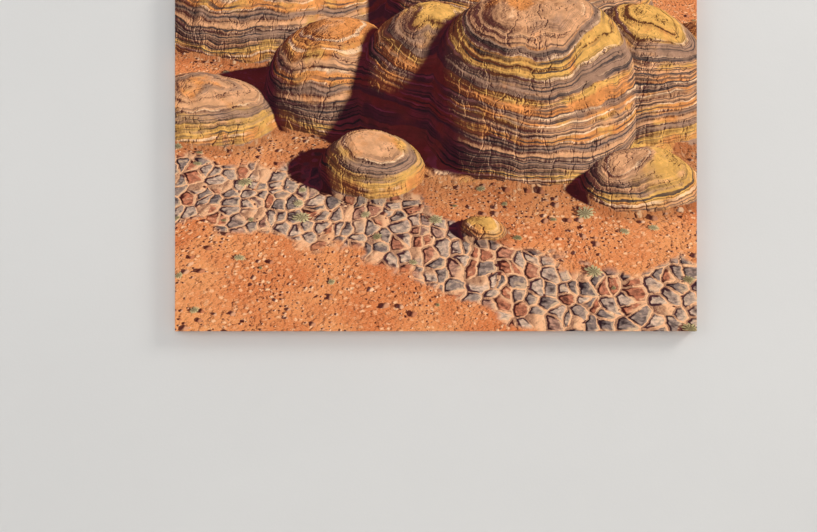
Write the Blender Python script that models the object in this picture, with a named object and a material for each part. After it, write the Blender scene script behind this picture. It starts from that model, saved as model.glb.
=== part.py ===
"""A wall-hung canvas print: printed cloth stretched over a keyed pine stretcher frame.

Metres, +Z up. The wall is the plane y = 0 and the picture faces -Y. The origin is the middle of the back,
on the wall. Each bar is modelled lying along X as the top bar and then turned into its place.
"""

from math import cos, pi, radians, sin, tan

import bmesh
import bpy
from mathutils import Matrix, Vector

# Driving dimensions
WIDTH = 1.200  # over the cloth, a 3:2 picture
HEIGHT = 0.800
BAR_DEPTH = 0.036  # of the stretcher bars, front to back
BAR_WIDTH = 0.044
STANDOFF = 0.005  # from the wall to the cloth folded on the back

CLOTH = 0.0005  # thickness
GAP = 0.0003  # between touching pieces
FOLD = 0.032  # cloth turned over onto the back
CLOTH_EDGE_RADIUS = 0.0013
CAVITY_EDGE_RADIUS = 0.0008

# Bar section
LIP = 0.008  # the flat outer part of the bar's front, which alone carries the cloth
FRONT_SLOPE = 0.006  # how far the front falls away from the cloth, at the inner edge
BAR_EDGE_RADIUS = 0.0016

# Centre brace
BRACE_WIDTH = 0.050
BRACE_THICKNESS = 0.016
BRACE_INSET = 0.002  # below the back of the bars
TENON_WIDTH = 0.040
TENON_LENGTH = 0.015

# Keys: thin wedges tapped into slots to tighten the cloth
KEY_THICKNESS = 0.003
KEY_LENGTH = 0.029
KEY_WIDTH = 0.0175
KEY_TIP = 0.0035
KEY_OUT = 0.010  # how much of it stands out of the slot
KEY_CLEARANCE = 0.0005
KEY_BEVEL = 0.0004
LAYER_NEAR = 0.012  # depth of the corner slots below the bars' back: upright bars
LAYER_FAR = 0.020  # and level bars

# Sawtooth hangers
HANGER_SPAN = 0.64  # between the two hangers
HANGER_LENGTH = 0.066
HANGER_HEIGHT = 0.012
HANGER_FOOT = 0.012
HANGER_RAMP = 0.004
HANGER_RISE = 0.0022
HANGER_PLATE = 0.0010
HANGER_TOOTH = 0.0022
HANGER_TEETH = 10
HANGER_DROP = 0.020  # from the top of the print to the middle of the hanger

# Round-head screws
SCREW_LENGTH = 0.013
SCREW_RADIUS = 0.0013
SCREW_HEAD_RADIUS = 0.0034
SCREW_HEAD_HEIGHT = 0.0018
CROSS_LENGTH = 0.0036  # of the driver's recess
CROSS_WIDTH = 0.0007
CROSS_DEPTH = 0.0011
CROSS_TURN = 27  # degrees from one screw to the next

# Rubber bumpers
BUMPER_RADIUS = 0.0065
BUMPER_TAPER = 0.0012
BUMPER_EDGE = 0.0008
BUMPER_INSET = 0.016  # from the print's top and bottom
BUMPER_CLEAR = 0.048  # from its sides, clear of the folded corners of the cloth

ROUND_SIDES = 24

# Planes, from the wall towards the picture
FOLD_BACK = -STANDOFF
BARS_BACK = FOLD_BACK - CLOTH - GAP
BARS_FRONT = BARS_BACK - BAR_DEPTH
CLOTH_FRONT = BARS_FRONT - GAP - CLOTH

# The frame of bars, inside the cloth
FRAME_WIDTH = WIDTH - 2 * (CLOTH + GAP)
FRAME_HEIGHT = HEIGHT - 2 * (CLOTH + GAP)
INNER_HALF_WIDTH = FRAME_WIDTH / 2 - BAR_WIDTH
INNER_HALF_HEIGHT = FRAME_HEIGHT / 2 - BAR_WIDTH


def finish(name, colour, roughness, metallic=0.0):
    material = bpy.data.materials.new(name)
    material.use_nodes = True
    shader = material.node_tree.nodes["Principled BSDF"]
    shader.inputs["Base Color"].default_value = (*colour, 1)
    shader.inputs["Roughness"].default_value = roughness
    shader.inputs["Metallic"].default_value = metallic
    return material


def add(name, mesh, material=None):
    """An object of this mesh, in the scene."""
    thing = bpy.data.objects.new(name, mesh)
    bpy.context.scene.collection.objects.link(thing)
    if material and not mesh.materials:
        mesh.materials.append(material)
    return thing


def to_mesh(name, form):
    bmesh.ops.recalc_face_normals(form, faces=form.faces)
    mesh = bpy.data.meshes.new(name)
    form.to_mesh(mesh)
    form.free()
    return mesh


def box(form, low, high):
    """Adds a box between two corners to a bmesh, and returns its vertices."""
    low, high = Vector(low), Vector(high)
    place = Matrix.Translation((low + high) / 2) @ Matrix.Diagonal((*(high - low), 1))
    return bmesh.ops.create_cube(form, size=1, matrix=place)["verts"]


def cylinder(form, middle, radius, low, high):
    """Adds a cylinder along Y between the planes low and high, around the point (x, z)."""
    place = Matrix.Translation((middle[0], (low + high) / 2, middle[1])) @ Matrix.Rotation(radians(90), 4, "X")
    bmesh.ops.create_cone(
        form, cap_ends=True, segments=ROUND_SIDES, radius1=radius, radius2=radius, depth=high - low, matrix=place
    )


def bevel(thing, width, segments):
    edges = thing.modifiers.new("eased_edges", "BEVEL")
    edges.width = width
    edges.segments = segments
    edges.limit_method = "ANGLE"


def cut(thing, form, name):
    """Cuts a bmesh of closed shapes, in the object's own frame, out of the object."""
    cutter = add(name, to_mesh(name, form))
    cutter.matrix_world = thing.matrix_world
    cutter.hide_render = True
    cutter.display_type = "WIRE"
    hole = thing.modifiers.new(name, "BOOLEAN")
    hole.operation = "DIFFERENCE"
    hole.solver = "EXACT"
    hole.object = cutter


def rounded(corners, radius, steps=3):
    """The outline with an arc of this radius in place of each corner."""
    points = []
    for i, corner in enumerate(corners):
        corner = Vector(corner)
        before = (Vector(corners[i - 1]) - corner).normalized()
        after = (Vector(corners[(i + 1) % len(corners)]) - corner).normalized()
        half = before.angle(after) / 2
        middle = corner + (before + after).normalized() * radius / sin(half)
        start = corner + before * radius / tan(half) - middle
        end = corner + after * radius / tan(half) - middle
        turn = start.angle_signed(end)
        for step in range(steps + 1):
            angle = -turn * step / steps
            points.append(middle + Matrix.Rotation(angle, 2) @ start)
    return points


def loft(name, rings):
    """A closed skin through rings of matching points, capped at both ends."""
    form = bmesh.new()
    loops = [[form.verts.new(point) for point in ring] for ring in rings]
    for one, two in zip(loops, loops[1:]):
        for i, corner in enumerate(one):
            form.faces.new((one[i - 1], corner, two[i], two[i - 1]))
    form.faces.new(loops[0])
    form.faces.new(loops[-1])
    return to_mesh(name, form)


def plate(name, outline, low, high):
    """The outline of points (x, z), extruded along Y."""
    return loft(name, [[(x, y, z) for x, z in outline] for y in (low, high)])


def smooth(mesh, angle=40):
    mesh.shade_smooth()
    mesh.set_sharp_from_angle(angle=radians(angle))


def bar_mesh(name, length):
    """The top bar: outer edge on z = 0, inner edge at -BAR_WIDTH, both ends mitred."""
    section = rounded(
        [
            (0, BARS_BACK),
            (-BAR_WIDTH, BARS_BACK),
            (-BAR_WIDTH, BARS_FRONT + FRONT_SLOPE),
            (-LIP, BARS_FRONT),
            (0, BARS_FRONT),
        ],
        BAR_EDGE_RADIUS,
    )
    ends = [[(side * (length / 2 - GAP / 2 + z), y, z) for z, y in section] for side in (-1, 1)]
    mesh = loft(name, ends)
    smooth(mesh)
    return mesh


def key_places(half_inner, layer, braced):
    """Where keys go along a bar: (x of the key's upright edge, direction along the bar, layer)."""
    corner = half_inner - KEY_CLEARANCE - GAP
    places = [(side * corner, -side, layer) for side in (-1, 1)]
    if braced:
        beside = BRACE_WIDTH / 2 + KEY_CLEARANCE + GAP
        middle = BRACE_INSET + BRACE_THICKNESS / 2
        places += [(side * beside, side, middle) for side in (-1, 1)]
    return places


def key_mesh(name, x, along, layer):
    """A wedge in the frame of the top bar: its tip is inside the bar and its butt stands out below."""
    inner = -BAR_WIDTH
    outline = [
        (x, inner + KEY_LENGTH - KEY_OUT),
        (x + along * KEY_TIP, inner + KEY_LENGTH - KEY_OUT),
        (x + along * KEY_WIDTH, inner - KEY_OUT),
        (x, inner - KEY_OUT),
    ]
    middle = BARS_BACK - layer
    return plate(name, outline, middle - KEY_THICKNESS / 2, middle + KEY_THICKNESS / 2)


def key_slot(form, x, along, layer):
    inner = -BAR_WIDTH
    ends = sorted((x - along * KEY_CLEARANCE, x + along * (KEY_WIDTH + KEY_CLEARANCE)))
    middle = BARS_BACK - layer
    half = KEY_THICKNESS / 2 + GAP
    top = inner + KEY_LENGTH - KEY_OUT + KEY_CLEARANCE
    box(form, (ends[0], middle - half, inner - BAR_EDGE_RADIUS), (ends[1], middle + half, top))


def brace_planes():
    back = BARS_BACK - BRACE_INSET
    return back - BRACE_THICKNESS, back


def brace_mortise(form):
    """The pocket for the brace's tenon, in the frame of the top bar."""
    low, high = brace_planes()
    half = TENON_WIDTH / 2 + GAP
    box(form, (-half, low - GAP, -BAR_WIDTH - BAR_EDGE_RADIUS), (half, high + GAP, -BAR_WIDTH + TENON_LENGTH + GAP))


def hanger_screws():
    """(x, z) of every hanger screw, in the row frame."""
    reach = HANGER_LENGTH / 2 - HANGER_FOOT / 2
    z = HEIGHT / 2 - HANGER_DROP
    return [(side * HANGER_SPAN / 2 + end * reach, z) for side in (-1, 1) for end in (-1, 1)]


def build_bars(pine, key_wood):
    """The four bars with their key slots, and the keys."""
    frames = {
        "top": (FRAME_WIDTH, 0, (0, 0, FRAME_HEIGHT / 2)),
        "right": (FRAME_HEIGHT, 90, (FRAME_WIDTH / 2, 0, 0)),
        "bottom": (FRAME_WIDTH, 180, (0, 0, -FRAME_HEIGHT / 2)),
        "left": (FRAME_HEIGHT, 270, (-FRAME_WIDTH / 2, 0, 0)),
    }
    for side, (length, turn, outer_middle) in frames.items():
        level = side in ("top", "bottom")
        bar = add(f"bar_{side}", bar_mesh(f"bar_{side}", length), pine)
        bar.location = outer_middle
        bar.rotation_euler = (0, radians(turn), 0)
        bpy.context.view_layer.update()
        pockets = bmesh.new()
        if level:
            brace_mortise(pockets)
        if side == "top":
            for x, z in hanger_screws():
                tip = FOLD_BACK - SCREW_LENGTH - GAP
                cylinder(pockets, (x, z - FRAME_HEIGHT / 2), SCREW_RADIUS + GAP, tip, 0)
        places = key_places(length / 2 - BAR_WIDTH, LAYER_FAR if level else LAYER_NEAR, level)
        for number, place in enumerate(places, start=1):
            key_slot(pockets, *place)
            name = f"key_{side}_{number}"
            key = add(name, key_mesh(name, *place), key_wood)
            key.matrix_world = bar.matrix_world
            bevel(key, KEY_BEVEL, 1)
        cut(bar, pockets, f"pockets_{side}")


def build_brace(pine):
    """The upright brace, with a bare-faced tenon at each end."""
    shoulder = INNER_HALF_HEIGHT - GAP
    tip = INNER_HALF_HEIGHT + TENON_LENGTH
    corner = [(BRACE_WIDTH / 2, shoulder), (TENON_WIDTH / 2, shoulder), (TENON_WIDTH / 2, tip)]
    upper_right = corner[:]
    upper_left = [(-x, z) for x, z in reversed(corner)]
    lower = [(x, -z) for x, z in reversed(upper_right + upper_left)]
    brace = add("brace", plate("brace", upper_right + upper_left + lower, *brace_planes()), pine)
    bevel(brace, KEY_BEVEL, 1)


def build_cloth(canvas):
    """The cloth as a shallow tray over the bars, with its edges folded in on the back."""
    form = bmesh.new()
    box(form, (-WIDTH / 2, CLOTH_FRONT, -HEIGHT / 2), (WIDTH / 2, FOLD_BACK, HEIGHT / 2))
    cloth = add("canvas", to_mesh("canvas", form), canvas)
    bevel(cloth, CLOTH_EDGE_RADIUS, 3)

    inside = bmesh.new()
    half_width, half_height = WIDTH / 2 - CLOTH, HEIGHT / 2 - CLOTH
    box(inside, (-half_width, CLOTH_FRONT + CLOTH, -half_height), (half_width, FOLD_BACK - CLOTH, half_height))
    bmesh.ops.bevel(
        inside, geom=inside.edges[:], offset=CAVITY_EDGE_RADIUS, segments=3, profile=0.5, affect="EDGES"
    )
    cut(cloth, inside, "canvas_inside")

    opening = bmesh.new()
    half_width, half_height = WIDTH / 2 - FOLD, HEIGHT / 2 - FOLD
    middle = (BARS_BACK + BARS_FRONT) / 2
    box(opening, (-half_width, middle, -half_height), (half_width, 0, half_height))
    for place in hanger_screws():
        cylinder(opening, place, SCREW_RADIUS + GAP, middle, 0)
    cut(cloth, opening, "canvas_opening")


def hanger_mesh(name):
    """A strip bent up between two feet, toothed along its lower edge. Its middle is at x = z = 0."""
    foot_end = HANGER_LENGTH / 2
    ramp_start = foot_end - HANGER_FOOT
    ramp_end = ramp_start - HANGER_RAMP
    low = FOLD_BACK + GAP
    toothed = 2 * ramp_end / HANGER_TEETH
    stations = [(-foot_end, low, 0), (-ramp_start, low, 0)]
    for tooth in range(HANGER_TEETH):
        x = -ramp_end + tooth * toothed
        stations += [(x, low + HANGER_RISE, 0), (x + toothed / 2, low + HANGER_RISE, HANGER_TOOTH)]
    stations += [(ramp_end, low + HANGER_RISE, 0), (ramp_start, low, 0), (foot_end, low, 0)]
    top, bottom = HANGER_HEIGHT / 2, -HANGER_HEIGHT / 2
    rings = [
        [(x, y, bottom + notch), (x, y, top), (x, y + HANGER_PLATE, top), (x, y + HANGER_PLATE, bottom + notch)]
        for x, y, notch in stations
    ]
    return loft(name, rings)


def screw_seat():
    """The plane under a screw's head, on the hanger's foot."""
    return FOLD_BACK + GAP + HANGER_PLATE + GAP


def screw_mesh(name):
    """A domed head on a plain shank that ends in a point. Its axis is Y and its seat the hanger's foot."""
    seat = screw_seat()
    tip = FOLD_BACK - SCREW_LENGTH
    profile = [(SCREW_RADIUS * 0.1, tip), (SCREW_RADIUS, tip + 3 * SCREW_RADIUS), (SCREW_RADIUS, seat)]
    dome_steps = 4
    for step in range(dome_steps):
        angle = pi / 2 * step / dome_steps
        profile.append((SCREW_HEAD_RADIUS * cos(angle), seat + SCREW_HEAD_HEIGHT * sin(angle)))
    rings = [
        [(r * cos(2 * pi * i / ROUND_SIDES), y, r * sin(2 * pi * i / ROUND_SIDES)) for i in range(ROUND_SIDES)]
        for r, y in profile
    ]
    mesh = loft(name, rings)
    smooth(mesh)
    return mesh


def cross():
    """The driver's recess in a screw's head: one closed plus-shaped block."""
    top = screw_seat() + SCREW_HEAD_HEIGHT
    long, short = CROSS_LENGTH / 2, CROSS_WIDTH / 2
    arm = [(long, -short), (long, short), (short, short)]
    outline = [Matrix.Rotation(radians(90 * quarter), 2) @ Vector(point) for quarter in range(4) for point in arm]
    rings = [[(x, y, z) for x, z in outline] for y in (top - CROSS_DEPTH, top + CROSS_DEPTH)]
    form = bmesh.new()
    form.from_mesh(loft("cross", rings))
    return form


def build_hangers(steel):
    """Two sawtooth hangers on the top bar, each held by two screws."""
    z = HEIGHT / 2 - HANGER_DROP
    for side, name in ((-1, "hanger_left"), (1, "hanger_right")):
        hanger = add(name, hanger_mesh(name), steel)
        hanger.location = (side * HANGER_SPAN / 2, 0, z)
        bpy.context.view_layer.update()
        holes = bmesh.new()
        for end in (-1, 1):
            reach = end * (HANGER_LENGTH / 2 - HANGER_FOOT / 2)
            cylinder(holes, (reach, 0), SCREW_RADIUS + GAP, 2 * FOLD_BACK, 0)
        cut(hanger, holes, f"{name}_holes")
    shape = screw_mesh("screw")
    for number, (x, z) in enumerate(hanger_screws(), start=1):
        name = f"screw_{number}"
        screw = add(name, shape, steel)
        screw.location = (x, 0, z)
        screw.rotation_euler = (0, radians(number * CROSS_TURN), 0)
        bpy.context.view_layer.update()
        cut(screw, cross(), f"{name}_cross")


def build_bumpers(rubber):
    """Four round rubber feet that keep the back off the wall."""
    low = FOLD_BACK + GAP
    profile = [(BUMPER_RADIUS, low), (BUMPER_RADIUS - BUMPER_TAPER + BUMPER_EDGE / 2, -BUMPER_EDGE)]
    profile.append((BUMPER_RADIUS - BUMPER_TAPER - BUMPER_EDGE / 2, 0))
    rings = [
        [(r * cos(2 * pi * i / ROUND_SIDES), y, r * sin(2 * pi * i / ROUND_SIDES)) for i in range(ROUND_SIDES)]
        for r, y in profile
    ]
    pad = loft("bumper", rings)
    smooth(pad, 30)
    for z_side, z_name in ((-1, "bottom"), (1, "top")):
        for x_side, x_name in ((-1, "left"), (1, "right")):
            bumper = add(f"bumper_{z_name}_{x_name}", pad, rubber)
            bumper.location = (x_side * (WIDTH / 2 - BUMPER_CLEAR), 0, z_side * (HEIGHT / 2 - BUMPER_INSET))


def main():
    for thing in list(bpy.data.objects):
        bpy.data.objects.remove(thing)
    pine = finish("pine", (0.72, 0.50, 0.27), 0.6)
    key_wood = finish("key_wood", (0.76, 0.60, 0.38), 0.6)
    canvas = finish("printed_canvas", (0.55, 0.27, 0.12), 0.6)
    steel = finish("zinc_plated_steel", (0.62, 0.61, 0.58), 0.35, 1.0)
    rubber = finish("rubber", (0.05, 0.05, 0.05), 0.7)
    build_bars(pine, key_wood)
    build_brace(pine)
    build_cloth(canvas)
    build_hangers(steel)
    build_bumpers(rubber)


main()
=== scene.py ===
# %% [markdown]
# # A stretched canvas wall print
#
# The real object is a picture printed on cotton canvas. The cloth is pulled over a light pine
# frame, called a stretcher, turned over onto its back and stapled there. Two toothed steel strips
# hang it from the wall. The wooden and metal parts come from the CAD frame, and get their finishes
# here. The cloth is modelled here.

# %% Load the frame
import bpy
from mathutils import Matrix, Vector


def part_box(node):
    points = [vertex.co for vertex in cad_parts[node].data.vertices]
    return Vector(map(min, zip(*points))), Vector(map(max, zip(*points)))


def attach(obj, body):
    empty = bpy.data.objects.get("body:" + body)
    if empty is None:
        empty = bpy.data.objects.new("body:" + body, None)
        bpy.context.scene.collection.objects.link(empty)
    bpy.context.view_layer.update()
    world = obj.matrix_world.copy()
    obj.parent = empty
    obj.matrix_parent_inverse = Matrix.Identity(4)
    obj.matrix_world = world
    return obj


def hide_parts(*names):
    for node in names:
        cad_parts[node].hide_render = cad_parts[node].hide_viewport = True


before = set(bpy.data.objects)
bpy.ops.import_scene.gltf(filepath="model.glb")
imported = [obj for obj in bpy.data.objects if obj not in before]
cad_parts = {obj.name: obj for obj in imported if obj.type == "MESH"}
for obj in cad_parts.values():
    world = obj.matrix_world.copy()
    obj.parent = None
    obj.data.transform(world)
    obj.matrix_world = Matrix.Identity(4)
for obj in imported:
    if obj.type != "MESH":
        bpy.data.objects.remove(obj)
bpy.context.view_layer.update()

# %% Modules
from math import cos, exp, pi, radians, sin
from random import Random

import bmesh
import bpy
from mathutils import Matrix, Vector
from mathutils import noise as waves

# %% [markdown]
# ## Sums in node trees
#
# A procedural material is a long calculation. Written as nodes and links by hand, it takes hundreds
# of lines that nobody can follow. Python lets a class say what + and * mean for it, so the small
# class below wraps an output socket: each sum on it adds its Math or Vector Math node and wires it
# up. The formulas then read like formulas.

# %% Wires
NUMBER_RESULTS = ("DOT_PRODUCT", "LENGTH")


class Wire:
    """An output socket that can be used in sums, with other wires, numbers or (x, y, z) values."""

    def __init__(self, socket):
        self.socket = socket
        self.tree = socket.id_data

    def is_vector(self):
        return self.socket.type != "VALUE"

    def work(self, operation, *others):
        """The result of one operation on this wire and the others."""
        values = (self, *others)
        vector = any(isinstance(v, tuple) or isinstance(v, Wire) and v.is_vector() for v in values)
        node = self.tree.nodes.new("ShaderNodeVectorMath" if vector else "ShaderNodeMath")
        node.operation = operation
        for socket, value in zip(node.inputs, values):
            plug(socket, value)
        number = not vector or operation in NUMBER_RESULTS
        return Wire(node.outputs["Value" if number else "Vector"])

    def __add__(self, other):
        return self.work("ADD", other)

    def __sub__(self, other):
        return self.work("SUBTRACT", other)

    def __mul__(self, other):
        return self.work("MULTIPLY", other)

    def __truediv__(self, other):
        return self.work("DIVIDE", other)

    def __rsub__(self, number):
        return self * -1.0 + number

    def __rtruediv__(self, number):
        return self.work("POWER", -1.0) * number

    def __abs__(self):
        return self.work("ABSOLUTE")

    __rmul__ = __mul__

    def dot(self, other):
        return self.work("DOT_PRODUCT", other)

    def unit(self):
        return self.work("NORMALIZE")

    def length(self):
        return self.work("LENGTH")

    def at_least(self, number):
        return self.work("MAXIMUM", number)

    def at_most(self, number):
        return self.work("MINIMUM", number)

    def part(self, axis):
        """The X, Y or Z of a vector."""
        node = self.tree.nodes.new("ShaderNodeSeparateXYZ")
        plug(node.inputs[0], self)
        return Wire(node.outputs[axis])

    def ramp(self, low, high, to_low=0.0, to_high=1.0):
        """Smoothly from to_low to to_high while this wire goes from low to high, and no further."""
        node = self.tree.nodes.new("ShaderNodeMapRange")
        node.interpolation_type = "SMOOTHSTEP"
        for socket, value in zip(node.inputs, (self, low, high, to_low, to_high)):
            plug(socket, value)
        return Wire(node.outputs[0])


# %% Nodes
def plug(socket, value):
    """Feeds a socket from a wire, a number or a tuple."""
    if isinstance(value, Wire):
        socket.id_data.links.new(value.socket, socket)
    elif isinstance(value, (int, float)) and socket.type in ("VECTOR", "RGBA"):
        socket.default_value = (value,) * len(socket.default_value)
    else:
        socket.default_value = value


def put(tree, kind, output=0, settings=(), **inputs):
    """Adds a node by its short name, and returns one output. An input's _ stands for a space."""
    node = tree.nodes.new("ShaderNode" + kind)
    for name, value in dict(settings).items():
        setattr(node, name, value)
    for name, value in inputs.items():
        plug(node.inputs[name.replace("_", " ")], value)
    return Wire(node.outputs[output])


def vector(x, y, z):
    """A vector from three values, one of them a wire at least."""
    tree = next(value.tree for value in (x, y, z) if isinstance(value, Wire))
    return put(tree, "CombineXYZ", X=x, Y=y, Z=z)


def mix(factor, low, high):
    """Blends two colours by a factor."""
    node = factor.tree.nodes.new("ShaderNodeMix")
    node.data_type = "RGBA"
    for socket, value in zip((node.inputs[0], node.inputs[6], node.inputs[7]), (factor, low, high)):
        plug(socket, (*value, 1.0) if isinstance(value, tuple) and len(value) == 3 else value)
    return Wire(node.outputs[2])


def blend(factor, low, high):
    """Blends two numbers or vectors by a factor."""
    return (high - low) * factor + low


# %% Noise and cells
def noise(place, scale, detail=2.0, roughness=0.5, output=0):
    """Cloudy random values from 0 to 1."""
    dials = {"Scale": scale, "Detail": detail, "Roughness": roughness}
    return put(place.tree, "TexNoise", output, Vector=place, **dials)


def drift(place, scale, detail=2.0, roughness=0.5):
    """A random shift either way along each axis."""
    return noise(place, scale, detail, roughness, "Color") - 0.5


def noise_along(value, scale, detail=2.0, roughness=0.5):
    """Noise that depends on one number only."""
    dials = {"Scale": scale, "Detail": detail, "Roughness": roughness}
    return put(value.tree, "TexNoise", settings={"noise_dimensions": "1D"}, W=value, **dials)


def cells(place, scale, feature="F1", randomness=1.0):
    """Voronoi cells on X and Y: distance from a cell's middle, its random colour, where it is."""
    node = place.tree.nodes.new("ShaderNodeTexVoronoi")
    node.voronoi_dimensions = "2D"
    node.feature = feature
    plug(node.inputs["Vector"], place)
    plug(node.inputs["Scale"], scale)
    plug(node.inputs["Randomness"], randomness)
    return [Wire(output) for output in node.outputs][:3]


# %% Node groups
SOCKETS = {float: "NodeSocketFloat", 3: "NodeSocketVector", 4: "NodeSocketColor"}
ORIGIN = (0.0, 0.0, 0.0)
ONES = (1.0, 1.0, 1.0)


def new_group(name, outputs, **defaults):
    """A node group: its tree and its inputs' wires. A default's form sets its socket's kind."""
    tree = bpy.data.node_groups.new(name, "ShaderNodeTree")
    for key, default in defaults.items():
        kind = SOCKETS[float if isinstance(default, float) else len(default)]
        socket = tree.interface.new_socket(key.replace("_", " "), in_out="INPUT", socket_type=kind)
        socket.default_value = default
    for key, kind in outputs.items():
        tree.interface.new_socket(key, in_out="OUTPUT", socket_type=SOCKETS[kind])
    entry = tree.nodes.new("NodeGroupInput")
    return tree, [Wire(entry.outputs[key.replace("_", " ")]) for key in defaults]


def close_group(tree, **results):
    """Wires the group's results to its outputs."""
    leave = tree.nodes.new("NodeGroupOutput")
    for key, value in results.items():
        plug(leave.inputs[key], value)
    print(f"group {tree.name}: {len(tree.nodes)} nodes")
    return tree


def use(tree, group, **inputs):
    """Places a group in a tree, and returns its outputs by name."""
    node = tree.nodes.new("ShaderNodeGroup")
    node.node_tree = group
    for key, value in inputs.items():
        plug(node.inputs[key.replace("_", " ")], value)
    return {output.name: Wire(output) for output in node.outputs}


# %% [markdown]
# ## The picture: a view over rocks
#
# The print shows desert ground in hard sunlight. It could be painted as an image, but a picture
# that is worked out in the material needs no file and is sharp from any distance. So each point of
# the print looks into a small imagined landscape: a ray goes from an eye through the point, and
# meets flat sand or one of the rock domes. Each dome is an ellipsoid, because where a ray meets an
# ellipsoid can be written as a formula. The same formula then asks whether the way to the sun is
# free, which gives the cast shadows.

# %% The landscape
EYE_TILT = radians(33)
EYE_DISTANCE = 10.0
EYE_FOCAL = 2.3
EYE = (0.0, -EYE_DISTANCE * cos(EYE_TILT), EYE_DISTANCE * sin(EYE_TILT))
SUN = tuple(Vector((0.78, -0.22, 0.50)).normalized())

# middle x, y, z and half sizes x, y, z, in the landscape's own unit
DOMES = (
    ((0.90, 0.75, -0.80), (3.00, 1.95, 1.10)),  # the low apron under the main group
    ((0.95, 0.50, 0.05), (1.18, 1.08, 1.48)),  # the great dome
    ((-0.02, 0.95, 0.00), (0.92, 0.90, 1.15)),
    ((-1.05, 1.20, -0.05), (0.85, 0.85, 0.90)),
    ((2.10, 0.85, 0.05), (0.82, 0.85, 1.15)),
    ((2.95, 1.30, 0.00), (0.75, 0.80, 0.85)),
    ((1.00, 2.75, 0.00), (1.70, 1.00, 1.35)),
    ((-2.00, 3.00, -0.10), (1.60, 0.95, 0.95)),
    ((-2.45, 0.75, -0.25), (0.95, 0.68, 0.72)),
    ((-0.62, -0.30, -0.05), (0.55, 0.48, 0.50)),
    ((1.95, -0.55, -0.10), (0.62, 0.48, 0.45)),
    ((0.45, -1.25, -0.03), (0.22, 0.19, 0.17)),
)
print(len(DOMES), "domes, seen from", EYE)


# %% Where a ray meets a dome
def meeting(start, way, middle, radii):
    """How far along way an ellipsoid begins and ends, and by how much it is met (0 at a graze)."""
    offset = (start - middle) / radii
    step = way / radii
    square = step.dot(step)
    towards = offset.dot(step)
    depth = towards * towards - square * (offset.dot(offset) - 1.0)
    root = depth.at_least(0.0).work("SQRT")
    return (towards * -1 - root) / square, (root - towards) / square, depth / square


# %% The nearer of two domes
def nearer_dome_group():
    """Keeps whichever is nearer to the eye: what was met so far, or this dome."""
    tree, (way, middle, radii, reach, best_middle, best_radii) = new_group(
        "nearer dome",
        {"Reach": float, "Middle": 3, "Radii": 3},
        Way=ORIGIN,
        Middle=ORIGIN,
        Radii=ONES,
        Best_Reach=100.0,
        Best_Middle=ORIGIN,
        Best_Radii=ONES,
    )
    eye = put(tree, "CombineXYZ", X=EYE[0], Y=EYE[1], Z=EYE[2])
    near, _, met = meeting(eye, way, middle, radii)
    wins = met.work("GREATER_THAN", 0.0) * near.work("LESS_THAN", reach)
    return close_group(
        tree,
        Reach=blend(wins, reach, near),
        Middle=blend(wins, best_middle, middle),
        Radii=blend(wins, best_radii, radii),
    )


nearer_dome = nearer_dome_group()


# %% The shadow of a dome
def dome_shadow_group():
    """Adds a dome's shadow at a point to the shadow so far, and darkens beside the dome's foot."""
    tree, (point, middle, radii, shadow, foot) = new_group(
        "dome shadow",
        {"Shadow": float, "Foot": float},
        Point=ORIGIN,
        Middle=ORIGIN,
        Radii=ONES,
        Shadow=0.0,
        Foot=0.0,
    )
    sun = put(tree, "CombineXYZ", X=SUN[0], Y=SUN[1], Z=SUN[2])
    _, far, met = meeting(point, sun, middle, radii)
    shade = met.ramp(0.0, 0.10) * far.ramp(0.01, 0.05)
    beside = ((point - middle) / radii).length().ramp(1.3, 0.95)
    return close_group(tree, Shadow=shadow.at_least(shade), Foot=foot.at_least(beside))


dome_shadow = dome_shadow_group()

# %% [markdown]
# ### Rock
#
# Layered sandstone wears into ledges: hard beds stand out and soft ones are cut back. Its layers
# lie nearly level, so noise that depends only on the height above the ground draws all of them. The
# height itself is bent a little by slow noise, so that the beds rise, dip and wander. The relief
# isn't modelled, because the print is flat: it is a number that is worked out twice, at a point and
# a little nearer to the sun. Where it rises towards the sun, the rock is in shade.

# %% Relief of the rock
# how much nearer to the sun the second look is
STEP = 0.010
SUN_STEP = tuple(STEP * axis for axis in SUN)


def rock_group():
    """The beds of the rock at a point, and its relief."""
    results = {"Relief": float, "Bed": float, "Flute": float}
    tree, (point,) = new_group("rock", results, Point=ORIGIN)
    sway = noise(point, 0.9, 2.0) * 0.36 + noise(point, 4.6, 3.0) * 0.07
    bed = point.part("Z") + sway
    ledges = noise_along(bed, 13.0, 1.0).ramp(0.35, 0.65) * 0.045
    ledges = ledges + noise_along(bed, 44.0, 2.0, 0.7) * 0.018
    flutes = noise(point * (1.0, 1.0, 0.30), 4.2, 4.0, 0.6)
    joints = abs(flutes - 0.5).ramp(0.0, 0.035)
    bulges = noise(point * (1.0, 1.0, 1.6), 1.9, 1.0) * 0.34
    grit = noise(point, 30.0, 4.0, 0.7) * 0.024
    relief = ledges + flutes * 0.16 + joints * 0.022 + bulges + grit
    return close_group(tree, Relief=relief, Bed=bed, Flute=flutes)


rock = rock_group()

# %% Colours of the rock
OCHRE = (0.62, 0.35, 0.10)
AMBER = (0.62, 0.25, 0.08)
BUFF = (0.58, 0.31, 0.17)
TAN = (0.82, 0.56, 0.36)
BROWN = (0.31, 0.185, 0.13)
SLATE = (0.055, 0.042, 0.045)


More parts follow.
